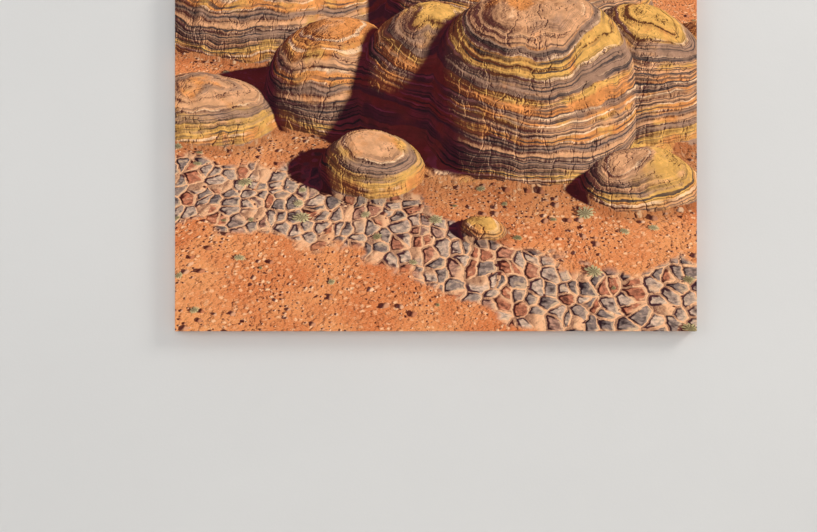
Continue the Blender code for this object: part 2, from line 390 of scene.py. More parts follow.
def rock_colour(point, normal, bed, flute):
    """The colours of the beds: gold and buff ones, thin dark lines between them, and pale seams."""
    top = normal.part("Z").ramp(0.66, 0.95)
    patch = noise(point, 1.7, 3.0, 0.6)
    broad = noise_along(bed, 3.4, 2.0) + (flute - 0.5) * 0.5
    colour = mix(broad.ramp(0.42, 0.58), AMBER, OCHRE)
    colour = mix((patch + noise_along(bed + 5.3, 5.0, 2.0) - 0.5).ramp(0.47, 0.62), colour, BUFF)
    brown = noise_along(bed + 3.7, 7.0, 2.0) + (noise(point, 2.6, 3.0) - 0.5) * 0.4 - top * 0.12
    colour = mix(brown.ramp(0.48, 0.60), colour, BROWN)
    lines = noise_along(bed, 36.0, 3.0, 0.75).ramp(0.50, 0.57)
    colour = mix(lines * patch.ramp(0.36, 0.58) * (1.0 - top * 0.85) * 0.95, colour, SLATE)
    seams = noise_along(bed + 9.1, 26.0, 2.0).ramp(0.60, 0.70)
    pale = seams * noise(point, 3.1, 2.0).ramp(0.40, 0.54)
    colour = mix(pale * 0.85, colour, TAN)
    worn = noise(point, 9.0, 5.0, 0.7).ramp(0.35, 0.8)
    return mix(worn, colour * 0.92, colour * (1.5, 1.52, 1.56))


# %% [markdown]
# ### Pebbles and plants
#
# Loose things lie about on the ground. They could be models, scattered as instances, but a flat
# picture only needs their outlines, light and shadows, and Voronoi cells give all three. The
# distance from a cell's middle gives a thing its round shape, and the direction from the middle
# says which side of it faces the sun. Its shadow is the same shape, looked up a little nearer to
# the sun. A thing stays well inside its own cell, so that no cell's edge cuts it.

# %% Pebbles
THING = {"Mask": float, "Light": float, "Own": 3, "Shadow": float}


def scattered(point, scale, share, size):
    """A round spot in some cells: the place in it, its random colour, and whether it is there."""
    _, own, middle = cells(point, scale, randomness=0.6)
    radius = size * blend(own.part("Y"), 0.4, 1.0)
    return (point - middle) * scale / radius, own, own.part("X").work("LESS_THAN", share)


def scatter_group():
    """Pebbles: a mask, their light, a random colour each, and their shadow."""
    start = {"Scale": 10.0, "Share": 0.5, "Size": 0.3}
    tree, (point, scale, share, size) = new_group("scatter", THING, Point=ORIGIN, **start)
    offset, own, there = scattered(point, scale, share, size)
    ragged = noise(point, scale * 2.5, 2.0) * 0.6 + 0.7
    facing = (offset * (1.0, 1.0, 0.0) + (0.0, 0.0, 0.45)).unit().dot(SUN)
    behind = (offset + (SUN[0], SUN[1], 0.0)).length()
    return close_group(
        tree,
        Mask=(ragged - offset.length()).ramp(0.0, 0.12) * there,
        Light=facing.ramp(-0.3, 0.9, 0.05, 1.2),
        Own=own,
        Shadow=(ragged - behind).ramp(-0.05, 0.15) * there,
    )


scatter = scatter_group()


# %% Low plants
def rosette_group():
    """Low plants from above: uneven leaves round a middle, their light and their shadow."""
    start = {"Scale": 2.0, "Share": 0.2, "Size": 0.2}
    tree, (point, scale, share, size) = new_group("rosette", THING, Point=ORIGIN, **start)
    offset, own, there = scattered(point, scale, share, size)
    radius = offset.length()
    ragged = noise(point, scale * 14.0, 3.0, 0.6)
    turn = offset.part("Y").work("ARCTAN2", offset.part("X")) * 5.5
    leaf = abs((turn + own.part("Z") * 9.0 + ragged * 7.0).work("SINE"))
    reach = leaf * 0.4 + ragged
    behind = (offset + (SUN[0] * 0.6, SUN[1] * 0.6, 0.0)).length()
    sunny = offset.dot(SUN) * 0.35 + 0.75
    return close_group(
        tree,
        Mask=(reach - radius).ramp(0.0, 0.08) * there,
        Light=leaf.ramp(0.15, 0.95, 0.25, 1.2) * (radius * 0.5 + 0.6) * sunny,
        Own=own,
        Shadow=(reach - behind).ramp(-0.1, 0.2) * there,
    )


rosette = rosette_group()

# %% [markdown]
# ### Sand and stones
#
# Red desert sand lies in soft dunes with crumbs of crust on them. Noise gives the dunes, and the
# rounded cells of two grids give the crumbs, because noise alone looks like smoke. A dry bed of
# close-packed stones crosses the ground. Cells again give the stones: the distance to a cell's edge
# leaves gaps between them, with sand in the gaps.

# %% Sand
SAND_LIGHT = (0.70, 0.295, 0.120)
SAND_DARK = (0.55, 0.160, 0.055)
SAND_GRAIN = (0.95, 0.66, 0.42)
CRUMBS_PER_UNIT = 22.0


def sand_height(point, coarse):
    """Soft dunes with crumbs of sand of two sizes on them, and a mask of the pale crumbs."""
    spot = point + drift(point, 24.0) * 0.035
    crumb, own, _ = cells(spot, CRUMBS_PER_UNIT)
    grain = cells(spot, 2.2 * CRUMBS_PER_UNIT)[0]
    dunes = noise(point, 5.0, 5.0, 0.66) * 0.13
    pale = own.part("X").ramp(0.75, 0.98) * crumb.ramp(0.55, 0.15)
    return dunes - (crumb * crumb * 0.032 + grain * grain * 0.013) * coarse, pale


def sand(point):
    """The colour and the light of the sand."""
    coarse = noise(point, 1.7, 3.0, 0.6).ramp(0.3, 0.7, 0.5, 1.6)
    height, pale = sand_height(point, coarse)
    slope = (sand_height(point + SUN_STEP, coarse)[0] - height) / STEP
    light = (0.95 - slope * 0.48).at_least(0.0).at_most(1.45)
    colour = mix(noise(point, 1.3, 4.0, 0.6).ramp(0.3, 0.7), SAND_DARK, SAND_LIGHT)
    pale = pale * coarse * 0.5 + noise(point, 60.0, 3.0, 0.7).ramp(0.52, 0.75) * 0.6
    return mix(pale.at_most(1.0), colour, SAND_GRAIN), light


# %% Bed of stones
STONE_DARK = (0.14, 0.11, 0.115)
STONE_PALE = (0.44, 0.33, 0.28)
STONE_RED = (0.34, 0.13, 0.08)
BETWEEN_STONES = (0.86, 0.56, 0.36)
STONES_PER_UNIT = 8.0


def stones(point):
    """Close-packed stones with sand between them: colour, light, and a mask of the stones."""
    spot = point * (1.0, 0.74, 1.0) + drift(point, 4.0, 3.0, 0.6) * 0.10
    edge = cells(spot, STONES_PER_UNIT, "DISTANCE_TO_EDGE")[0]
    _, own, middle = cells(spot, STONES_PER_UNIT)
    pitted = noise(point, 26.0, 4.0, 0.65)
    gap = blend(own.part("Z"), 0.02, 0.10)
    rim = (edge - gap).ramp(0.0, 0.20)
    offset = (spot - middle) * STONES_PER_UNIT
    lean = offset * (1.0, 1.0, 0.0) * (1.0 - rim) * 3.0 + drift(point, 9.0) * 1.1
    facing = (lean + (0.0, 0.0, 0.45)).unit().dot(SUN) + (pitted - 0.5) * 0.7
    tone = mix(own.part("X"), STONE_DARK, STONE_PALE)
    tone = mix(own.part("Y").ramp(0.66, 0.78), tone, STONE_RED)
    tone = mix(pitted.ramp(0.38, 0.66), tone * 0.8, tone * (1.6, 1.5, 1.4))
    tone = mix(facing.ramp(0.62, 1.0) * 0.55, tone, TAN)
    buried = (own.part("Z") + noise(point, 1.8, 2.0) - 0.55).ramp(0.0, 0.1)
    solid = (edge + (pitted - 0.5) * 0.05 - gap).ramp(0.0, 0.04) * buried
    between = offset.dot(SUN).ramp(-0.15, 0.2, 0.12, 0.95)
    light = blend(solid, between, facing.ramp(-0.2, 0.95, 0.04, 1.65))
    return mix(solid, BETWEEN_STONES, tone), light, solid


# %% Things on the ground
PEBBLE_RED = (0.42, 0.13, 0.06)
PEBBLE_PALE = (0.90, 0.58, 0.38)
LEAF_DARK = (0.19, 0.17, 0.065)
LEAF_PALE = (0.66, 0.58, 0.34)
# cells in a unit, share of them that are filled, and greatest size in a cell
PEBBLES = ((21.0, 0.55, 0.34), (9.0, 0.40, 0.36))
PLANTS = ((1.5, 0.42, 0.17), (4.6, 0.13, 0.26))


def add_things(thing, own_colour, shadow, colour, light):
    """Lays scattered things and their shadows over the ground's colour and light."""
    light = light * (1.0 - thing["Shadow"] * shadow)
    return mix(thing["Mask"], colour, own_colour), blend(thing["Mask"], light, thing["Light"])


# %% Ground
def ground_group():
    """The sand, the bed of stones across it, and what is scattered on both: colour and light."""
    tree, (point, foot) = new_group("ground", {"Colour": 4, "Light": float}, Point=ORIGIN, Foot=0.0)
    colour, light = sand(point)

    bend = (point.part("X") * 1.4).work("SINE") * 0.30
    bank = (noise(point, 2.2, 4.0) - 0.5) * 1.2
    across = point.part("Y") + point.part("X") * 0.36 + bend + 1.45 + bank
    bed_colour, bed_light, solid = stones(point)
    bed = abs(across).ramp(0.62, 0.44) * (solid * 0.35 + 0.65)
    colour = mix(bed, colour, bed_colour)
    light = blend(bed, light, bed_light)

    crowd = noise(point, 2.6, 3.0, 0.6).ramp(0.40, 0.68) * (1.0 - bed) + foot * 0.6
    for scale, share, size in PEBBLES:
        thing = use(tree, scatter, Point=point, Scale=scale, Share=crowd * share, Size=size)
        pebble = mix(thing["Own"].part("Z"), PEBBLE_RED, PEBBLE_PALE)
        colour, light = add_things(thing, pebble, 0.9, colour, light)
    for scale, share, size in PLANTS:
        thing = use(tree, rosette, Point=point, Scale=scale, Share=share, Size=size)
        leaf = mix(thing["Own"].part("Y") * 0.5 + thing["Light"] * 0.4, LEAF_DARK, LEAF_PALE)
        colour, light = add_things(thing, leaf, 0.85, colour, light)
    return close_group(tree, Colour=colour, Light=light)


ground = ground_group()

# %% [markdown]
# ### Putting the picture together
#
# The nearest dome, or the sand, gives the point that is seen, and its colour is then lit. Light
# could come from Blender's own lamps, but these are for the studio that the print hangs in. So the
# picture has its sun as a number at each point. Sunlight is warm, and what lies in shadow is deep
# red, because the red ground all round throws its own light back into it.

# %% The way of a ray
def look(place):
    """The way from the eye through a place on the print, in the landscape."""
    x, y = place.part("X"), place.part("Y")
    ahead = y * sin(EYE_TILT) + EYE_FOCAL * cos(EYE_TILT)
    return vector(x, ahead, y * cos(EYE_TILT) - EYE_FOCAL * sin(EYE_TILT))


# %% The whole picture
SUNLIGHT = (1.24, 1.14, 1.0)
SHADE = (0.088, 0.014, 0.050)
# by how much a dome must be nearer than the sand to be seen
CLEARLY_NEARER = 0.0005


def picture_group():
    """The colour of the picture at a place on the print, in metres from its middle."""
    tree, (place,) = new_group("picture", {"Colour": 4}, Place=ORIGIN)
    # a slow bend and a quick one, so that no outline is a perfect oval
    place = place + drift(place, 3.2, 1.0) * 0.06
    place = place + drift(place, 13.0, 4.0, 0.6) * 0.020
    way = look(place)
    to_ground = -EYE[2] / way.part("Z")
    best = {"Reach": to_ground, "Middle": ORIGIN, "Radii": ONES}
    for middle, radii in DOMES:
        so_far = {f"Best_{name}": value for name, value in best.items()}
        best = use(tree, nearer_dome, Way=way, Middle=middle, Radii=radii, **so_far)
    point = way * best["Reach"] + EYE
    outward = ((point - best["Middle"]) / (best["Radii"] * best["Radii"])).unit()

    shade = {"Shadow": 0.0, "Foot": 0.0}
    for middle, radii in DOMES:
        shade = use(tree, dome_shadow, Point=point, Middle=middle, Radii=radii, **shade)

    # sand has drifted unevenly against the rocks' feet
    above_sand = point.part("Z") - noise(point, 3.5, 4.0, 0.6) * 0.16 + 0.045
    before_sand = (best["Reach"] + CLEARLY_NEARER).work("LESS_THAN", to_ground)
    on_rock = above_sand.ramp(0.0, 0.012) * before_sand
    here = use(tree, rock, Point=point)
    sunwards = use(tree, rock, Point=point + SUN_STEP)
    slope = (sunwards["Relief"] - here["Relief"]) / STEP
    rock_light = (outward.dot(SUN) * 1.15 - slope * 0.42 + 0.17).at_least(0.06).at_most(1.4)
    floor = use(tree, ground, Point=point, Foot=shade["Foot"])
    light = blend(on_rock, floor["Light"], rock_light) * (1.0 - shade["Shadow"])
    hollow = blend(on_rock, 1.0 - shade["Foot"] * 0.35, 1.0)
    albedo = mix(on_rock, floor["Colour"], rock_colour(point, outward, here["Bed"], here["Flute"]))
    return close_group(tree, Colour=albedo * mix(light, SHADE, SUNLIGHT) * hollow)


picture = picture_group()

# %% [markdown]
# ## Canvas weave
#
# Artist's canvas is a plain weave: each thread goes over one thread and under the next. Modelled
# threads would be millions of faces, and they stand out by a tenth or two of a millimetre only, so
# the weave is a height that the materials' bump uses. Two sets of round-backed threads that take
# turns give it, from sines of the place on the cloth. Slow noise makes the threads uneven, as spun
# cotton is. The printed face and the bare back share this, so it is a node group.

# %% Weave group
THREADS_PER_METRE = 1400.0


def weave_group():
    """The height of a plain weave on a place in metres, and a mask of slubs (thicker threads)."""
    start = {"Threads": THREADS_PER_METRE, "Uneven": 0.6}
    tree, (place, threads, uneven) = new_group(
        "weave", {"Height": float, "Slub": float}, Place=ORIGIN, **start
    )
    bent = place + drift(place, 220.0) * (uneven * 0.0006)
    x, y = bent.part("X") * threads, bent.part("Y") * threads
    warp, weft = abs((x * pi).work("SINE")), abs((y * pi).work("SINE"))
    turn = ((x.work("FLOOR") + y.work("FLOOR")) * 0.5).work("FRACT") * 2.0
    height = blend(turn, warp * (weft * 0.4 + 0.6), weft * (warp * 0.4 + 0.6))
    level = noise(place * (1.0, 26.0, 1.0), 42.0, 2.0).ramp(0.62, 0.74)
    upright = noise(place * (26.0, 1.0, 1.0), 42.0, 2.0).ramp(0.62, 0.74)
    slubs = level.at_least(upright)
    return close_group(tree, Height=height * (slubs * 0.5 + 0.8), Slub=slubs)


weave = weave_group()

# %% [markdown]
# ## The cloth
#
# The cloth is one sheet, cut larger than the frame and wrapped round it, as a parcel is. A box with
# bevelled edges would be quicker, but it has no folds, no cut edge and no inner side. So the front
# is a grid, and from each edge of it a strip follows one path: round the front edge, across the
# side, round the back edge and in over the back. At the corners, the side strips go round first,
# and the top and bottom strips lie over them and end in a diagonal fold on the back. Each point
# remembers where it was on the flat sheet, in metres, in a UV map: the picture and the weave are
# drawn there, so that both run over the edges without a break.

# %% Sizes of the cloth
cloth_low, cloth_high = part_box("canvas")
HALF_WIDTH, HALF_HEIGHT = cloth_high.x, cloth_high.z
FRONT, BACK = cloth_low.y, cloth_high.y
CLOTH = 0.0005
BEND = 0.0014
TURNOVER = 0.032
ROUND_STEPS = 4
QUARTER = [pi / 2 * step / ROUND_STEPS for step in range(ROUND_STEPS + 1)]
FLAT_PARTS = (0.04, 0.25, 0.5, 0.75, 0.96, 1.0)


def strip_path():
    """From the front's edge to the cut edge on the back: how far out, how deep, how far along."""
    path = [(BEND * sin(a) - BEND, FRONT + BEND * (1 - cos(a)), BEND * a) for a in QUARTER]
    way, flat = BEND * pi / 2, BACK - FRONT - 2 * BEND
    path += [(0.0, FRONT + BEND + flat * part, way + flat * part) for part in FLAT_PARTS]
    way += flat
    turn = QUARTER[1:]
    path += [(BEND * cos(a) - BEND, BACK - BEND * (1 - sin(a)), way + BEND * a) for a in turn]
    way, flat = way + BEND * pi / 2, TURNOVER - BEND
    path += [(-BEND - flat * part, BACK, way + flat * part) for part in FLAT_PARTS]
    return path


PATH = strip_path()
ON_BACK = len(PATH) - len(FLAT_PARTS)
MARGIN = PATH[-1][2] - BEND
SHEET = (2 * (HALF_WIDTH + MARGIN), 2 * (HALF_HEIGHT + MARGIN))
print(f"cloth cut to {SHEET[0]:.3f} by {SHEET[1]:.3f} m")

# %% [markdown]
# ### Slack and scallops
#
# Hand-stretched cloth is never quite flat: each staple pulls a short scallop into its edge, and
# faint waves cross its middle. They are a tenth of a millimetre deep at most, just enough to make a
# reflection swim. A bump in the material could bend the light in the same way, but the front has
# points enough to be moved, and then the shape is right from the side too. The scallops are a
# cosine with one wave to each staple, and fade away from the edge. The waves are Blender's own
# noise, which is the same on every run, and so is the wander of the scissors along the cut edge on
# the back.

# %% Slack
STAPLE_SPACING = 0.048
WAVE_DEPTH = 0.00012
SCALLOP_DEPTH = 0.00004
SCALLOP_REACH = 0.02
TIGHT_RIM = 0.004
CUT_WANDER = 0.0012
CUT_FRAY = 0.0002


def smoothly(value):
    """From 0 to 1, slow at both ends."""
    value = min(max(value, 0.0), 1.0)
    return value * value * (3 - 2 * value)


def wander(one, two):
    """Slow random ups and downs between -1 and 1."""
    return waves.noise(Vector((one, two, 0.37)))


def slack(x, z):
    """How far the front is out of true at a place."""
    from_side, from_top = HALF_WIDTH - abs(x), HALF_HEIGHT - abs(z)
    scallop = cos(2 * pi * x / STAPLE_SPACING) * exp(-from_top / SCALLOP_REACH)
    scallop += cos(2 * pi * z / STAPLE_SPACING) * exp(-from_side / SCALLOP_REACH)
    free = smoothly(min(from_side, from_top) / TIGHT_RIM)
    return free * (WAVE_DEPTH * wander(x * 5, z * 5) - SCALLOP_DEPTH * scallop)


def cut_edge(along, number):
    """The scissors' wander along the cut edge on the back, and its fray."""
    return CUT_WANDER * wander(along * 9, number) + CUT_FRAY * wander(along * 160, number)


deepest = max(abs(slack(x / 10, z / 10)) for x in range(-5, 6) for z in range(-3, 4))
print(f"front out of true by up to {1000 * deepest:.2f} mm")


# %% [markdown]
# ### Strips and corners
#
# A cloth simulation could fold the corners, but it is slow, and never comes to rest as flat as a
# stapled canvas. Here each panel is rows of points with quads between them, which keeps the quads
# in step with the threads. The rows stand close together at the ends, so that the bends stay crisp
# when the mesh is shaded smooth. The strips that lie over the others are lifted by their thickness
# near the corners, so that no two layers share a place.

# %% Rows of points
PANELS = ("front", "top", "bottom", "left", "right")
ACROSS = 60
UP = 40


def evenly(half, count):
    """Evenly spaced places from -half to half."""
    return [half * (2 * i / count - 1) for i in range(count + 1)]


def stations(half, count):
    """Places along an edge: evenly spaced, with two close to the ends."""
    first, *inner, last = evenly(half, count)
    return [first, first + 2 * BEND, *inner, last - 2 * BEND, last]


def skin(form, rows, panel):
    """Quads between rows of (position, place on the flat sheet), as part of the cloth's form."""
    uv, kind = form.loops.layers.uv["sheet"], form.faces.layers.int["panel"]
    made = [[(form.verts.new(position), place) for position, place in row] for row in rows]
    for one, two in zip(made, made[1:]):
        for corners in zip(one, one[1:], two[1:], two):
            face = form.faces.new([vertex for vertex, _ in corners])
            face[kind] = PANELS.index(panel)
            for loop, (_, place) in zip(face.loops, corners):
                loop[uv].uv = place


def add_front(form):
    """The face of the print."""
    xs, zs = stations(HALF_WIDTH - BEND, ACROSS), stations(HALF_HEIGHT - BEND, UP)
    skin(form, [[((x, FRONT + slack(x, z), z), (x, z)) for x in xs] for z in zs], "front")


# %% Top and bottom strips
LIFT = 1.3 * CLOTH
LIFT_RUN = 0.016
LIFT_START = 0.004


def over_strip(form, side, panel):
    """The top (side 1) or bottom (-1) strip. Its ends lie over the side strips, a little raised."""
    rows = []
    for number, (out, depth, way) in enumerate(PATH):
        end = HALF_WIDTH - BEND - max(0.0, -out - BEND) * (number >= ON_BACK)
        raised = LIFT * smoothly((depth - FRONT) / LIFT_START)
        row = []
        for x in stations(end, ACROSS):
            lift = raised * smoothly(1 - (end - abs(x)) / LIFT_RUN)
            trim = cut_edge(x, side) if number == len(PATH) - 1 else 0.0
            z = side * (HALF_HEIGHT + out + trim + (lift if depth < BACK else 0.0))
            y = depth + (lift if depth == BACK else 0.0)
            row.append(((x, y, z), (x, side * (HALF_HEIGHT - BEND + way))))
        rows.append(row)
    skin(form, rows, panel)


# %% Side strips and corners
TUCK = 0.009
UNDER = 0.55 * CLOTH


def round_the_corner(side, end, out, depth, u):
    """From a side strip, round the upright corner edge and on under the strip that lies over it."""
    reach, row = out + BEND, []
    middle_x, middle_z = HALF_WIDTH - BEND, HALF_HEIGHT - BEND
    for angle in QUARTER[1:]:
        x, z = middle_x + reach * cos(angle), middle_z + reach * sin(angle)
        row.append(((side * x, depth, end * z), (u, end * (middle_z + reach * angle))))
    for step in (1, 2):
        x, z = middle_x - TUCK * step / 2, middle_z + reach - UNDER * step
        v = middle_z + reach * pi / 2 + TUCK * step / 2
        row.append(((side * x, depth, end * z), (u, end * v)))
    return row


def under_strip(form, side, panel):
    """The left (side -1) or right (1) strip, which goes on under the top and bottom strips."""
    rows, turned_rows = [], []
    for number, (out, depth, way) in enumerate(PATH):
        u = side * (HALF_WIDTH - BEND + way)
        end = HALF_HEIGHT - BEND
        if number >= ON_BACK:
            end = min(end, end + out + BEND + TUCK)
        trim = number == len(PATH) - 1
        row = []
        for z in stations(end, UP):
            x = side * (HALF_WIDTH + out + trim * cut_edge(z, side + 5))
            row.append(((x, depth, z), (u, z)))
        if number < ON_BACK:
            low = round_the_corner(side, -1, out, depth, u)
            rows.append(low[::-1] + row + round_the_corner(side, 1, out, depth, u))
        if number >= ON_BACK - 1:
            turned_rows.append(row)
    skin(form, rows, panel)
    skin(form, turned_rows, panel)


# %% The whole sheet
# points nearer than this are one point of a seam
SEAM = 1e-6


def cloth_mesh():
    """All five panels, sewn where they meet, with the front facing out."""
    form = bmesh.new()
    form.loops.layers.uv.new("sheet")
    form.faces.layers.int.new("panel")
    add_front(form)
    over_strip(form, 1, "top")
    over_strip(form, -1, "bottom")
    under_strip(form, -1, "left")
    under_strip(form, 1, "right")
    bmesh.ops.remove_doubles(form, verts=form.verts, dist=SEAM)
    bmesh.ops.recalc_face_normals(form, faces=form.faces)
    form.faces.ensure_lookup_table()
    if form.faces[0].normal.y > 0:
        bmesh.ops.reverse_faces(form, faces=form.faces)
    mesh = bpy.data.meshes.new("cloth")
    form.to_mesh(mesh)
    form.free()
    mesh.shade_smooth()
    return mesh


def new_object(name, mesh):
    """A new object in the scene."""
    thing = bpy.data.objects.new(name, mesh)
    bpy.context.scene.collection.objects.link(thing)
    return thing


cloth = new_object("canvas_cloth", cloth_mesh())
print("sheet:", len(cloth.data.polygons), "faces")

# %% [markdown]
# ## Finish of the cloth
#
# The ink lies on a white primer, with a satin varnish over it. It stops a little way round the back
# edge, where the white cloth shows. One material could serve both sides of a sheet, but the inner
# side of a real canvas is bare cotton, so each side has its own. The threads stand up through ink
# and varnish: they give the bump, and on both sides the colour is painted a little darker in the
# hollows between them, as shade. Along the front folds, where the cloth is bent hardest, the ink
# has cracked in fine flecks.

# %% Materials
def new_material(name, **constants):
    """A material: itself, its tree, and its Principled shader with constant sockets set."""
    material = bpy.data.materials.new(name)
    material.use_nodes = True
    shader = material.node_tree.nodes["Principled BSDF"]
    for key, value in constants.items():
        plug(shader.inputs[key.replace("_", " ")], value)
    print("material", name)
    return material, material.node_tree, shader


def finish(shader, colour, roughness, height, depth):
    """Feeds a shader its colour, its roughness, and a bump that is depth metres deep."""
    bump = put(shader.id_data, "Bump", Strength=1.0, Distance=depth, Height=height)
    for key, value in {"Base Color": colour, "Roughness": roughness, "Normal": bump}.items():
        plug(shader.inputs[key], value)


# %% Printed canvas
INK_OVER = 0.009
INK_EDGE = 0.0002
INK_STRAY = 0.0008
# where the cracks in the ink begin and where they are thickest, away from the fold
CRACKS = (0.0014, 0.0002)
PRIMER = (0.80, 0.79, 0.76)


def cracked_ink(place):
    """Fine flecks along the front folds."""
    from_x = abs(abs(place.part("X")) - HALF_WIDTH)
    from_y = abs(abs(place.part("Y")) - HALF_HEIGHT)
    on_fold = from_x.at_most(from_y).ramp(*CRACKS)
    stretches = noise(place, 28.0, 3.0).ramp(0.46, 0.62)
    return noise(place, 1800.0, 3.0, 0.6).ramp(0.54, 0.64) * on_fold * stretches


def printed_canvas():
    """The outer side of the cloth: the picture, and white primer past the ink's edge."""
    material, tree, shader = new_material("printed_canvas", Specular_IOR_Level=0.06)
    place = put(tree, "UVMap", settings={"uv_map": "sheet"})
    threads = use(tree, weave, Place=place)
    shown = use(tree, picture, Place=place)
    out_x = abs(place.part("X")) - (HALF_WIDTH + BACK - FRONT + INK_OVER)
    out_y = abs(place.part("Y")) - (HALF_HEIGHT + BACK - FRONT + INK_OVER)
    beyond = out_x.at_least(out_y) + (noise(place, 900.0, 2.0) - 0.5) * INK_STRAY
    ink = beyond.ramp(INK_EDGE, -INK_EDGE) * (1.0 - cracked_ink(place) * 0.55)
    # painted shade: the colour is a little darker in the weave's hollows
    painted_weave_shade = threads["Height"].ramp(0.25, 0.75, 0.93, 1.0)
    colour = mix(ink, PRIMER, shown["Colour"]) * painted_weave_shade
    roughness = noise(place, 30.0, 3.0).ramp(0.3, 0.7, 0.50, 0.60) + threads["Slub"] * 0.05
    finish(shader, colour, roughness, threads["Height"], depth=0.00010)
    return material


# %% Raw canvas
COTTON = (0.60, 0.53, 0.42)
COTTON_DARK = (0.53, 0.46, 0.355)
SEED = (0.20, 0.13, 0.07)


def raw_canvas():
    """The cloth's inner side, never primed: unbleached cotton with slubs and specks of seed."""
    material, tree, shader = new_material("raw_canvas", Specular_IOR_Level=0.15, Sheen_Weight=0.15)
    place = put(tree, "UVMap", settings={"uv_map": "sheet"})
    threads = use(tree, weave, Place=place, Threads=THREADS_PER_METRE * 0.9, Uneven=1.0)
    height = threads["Height"]
    cotton = mix(noise(place, 6.0, 4.0).ramp(0.3, 0.75), COTTON, COTTON_DARK)
    cotton = mix(threads["Slub"] * 0.32, cotton, PRIMER)
    seeds = noise(place, 520.0, 1.0).ramp(0.74, 0.78)
    # painted shade: the colour is darker in the low parts of the weave
    colour = mix(seeds * 0.5, cotton, SEED) * height.ramp(0.1, 0.8, 0.72, 1.0)
    finish(shader, colour, height.ramp(0.0, 1.0, 0.95, 0.82), height, depth=0.00022)
    return material


# %% [markdown]
# ### Thickness and a second map
#
# The sheet is an open skin, half a millimetre thick in reality. Both sides could be built by hand,
# but the Solidify modifier does it with even thickness round the bends. The skin has both materials
# before that, because the modifier counts on from a face's material, and a count past the last one
# falls back to it. The second UV map lays each panel's two sides on one square, none over another:
# the colours can be baked there, where the first map would lay the outer side over the inner one.

# %% Thickness
CREASE = radians(50)


def thickened(thing, thickness):
    """Gives an open skin its thickness on its inner side, as material 1, and keeps the result."""
    solid = thing.modifiers.new("thickness", "SOLIDIFY")
    solid.thickness = thickness
    solid.offset = -1
    solid.use_even_offset = True
    solid.material_offset = 1
    solid.material_offset_rim = 1
    finished = thing.evaluated_get(bpy.context.evaluated_depsgraph_get())
    done = bpy.data.meshes.new_from_object(finished)
    thing.modifiers.clear()
    thing.data = done
    done.set_sharp_from_angle(angle=CREASE)


# %% Map for baking
MAP_SCALE = 0.82
INNER_SCALE = 0.20
# the lower left corner of each panel on the map, for its printed side and for its inner side
MAP_PLACES = {
    "front": ((0.005, 0.335), (0.71, 0.01)),
    "top": ((0.005, 0.265), (0.01, 0.01)),
    "bottom": ((0.005, 0.20), (0.01, 0.04)),
    "left": ((0.005, 0.135), (0.30, 0.01)),
    "right": ((0.005, 0.07), (0.30, 0.04)),
}


def map_place(panel, inner, u, v):
    """Where a point of the sheet lies on the square map."""
    if panel == "front":
        x, y = u + HALF_WIDTH, v + HALF_HEIGHT
    elif panel in ("top", "bottom"):
        x, y = u + HALF_WIDTH, abs(v) - HALF_HEIGHT + BEND
    else:
        x, y = v + HALF_HEIGHT + 2 * TUCK, abs(u) - HALF_WIDTH + BEND
    scale = INNER_SCALE if inner else MAP_SCALE
    left, low = MAP_PLACES[panel][inner]
    return left + x * scale, low + y * scale


def add_bake_map(mesh):
    """Adds the second map, from the first one and each face's panel."""
    sheet, kind = mesh.uv_layers["sheet"].uv, mesh.attributes["panel"].data
    places = {}
    for face in mesh.polygons:
        for loop in face.loop_indices:
            panel = PANELS[kind[face.index].value]
            places[loop] = map_place(panel, face.material_index == 1, *sheet[loop].vector)
    bake = mesh.uv_layers.new(name="OFBake").uv
    for loop, place in places.items():
        bake[loop].vector = place


# %% [markdown]
# ### The cloth in place
#
# The frame has a plain solid in the cloth's place, because a simulation needs no folds. The
# finished cloth replaces it in every picture, and rides on the frame's only body.

# %% The finished cloth
cloth.data.materials.append(printed_canvas())
cloth.data.materials.append(raw_canvas())
thickened(cloth, CLOTH)
add_bake_map(cloth.data)
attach(cloth, "root")
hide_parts("canvas")
print("cloth:", len(cloth.data.polygons), "faces")

# %% [markdown]
# ## Pine
#
# A pine board is a slice through a tree's yearly rings. A flat pattern on each face would not meet
# at the board's edges, so the grain is drawn as a solid pattern: rings round a far axis, stretched
# along the board and bent a little by noise. Each ring goes slowly from pale early wood to a thin
# dark line of late wood. The level bars run along X and the upright ones along Z, so the pattern
# takes the board's own direction as its first axis. Knots are cells that bend the rings round them.

# %% Grain group
RINGS_PER_METRE = 320.0


def grain_group():
    """The grain of planed softwood. Place has the board's length as its X."""
    tree, (place, rings, shift) = new_group(
        "grain",
        {"Late": float, "Fibre": float, "Knot": float, "Height": float},
        Place=ORIGIN,
        Rings=RINGS_PER_METRE,
        Shift=0.0,
    )
    place = place + vector(shift, shift * 0.37, 0.0)
    length, width, depth = place.part("X"), place.part("Y"), place.part("Z")
    away, own, _ = cells(vector(length * 4.6, width * 7.0, 0.0), 1.0, randomness=0.4)
    knotty = own.part("X").work("LESS_THAN", 0.30)
    away = away / blend(own.part("Y"), 0.7, 1.3)
    knot = away.ramp(0.058, 0.048) * knotty
    swell = away.ramp(0.22, 0.03) * knotty
    bend = noise(place * (1.1, 7.0, 7.0), 3.0, 2.0) * 0.028 + swell * 0.014
    radius = vector(0.0, width - 0.11, depth + 0.045).length() + bend
    ring = (radius * rings).work("FRACT")
    late = ring.ramp(0.35, 0.93) * ring.ramp(1.0, 0.96)
    fibre = noise(place * (9.0, 620.0, 620.0), 1.0, 3.0, 0.6)
    knot_ring = (away * 130.0).work("FRACT").at_least(away.ramp(0.036, 0.048)) * knot
    return close_group(
        tree,
        Late=blend(knot, late, knot_ring),
        Fibre=fibre,
        Knot=knot,
        Height=fibre * 0.5 + late * 0.4 - knot * 0.3,
    )


grain = grain_group()

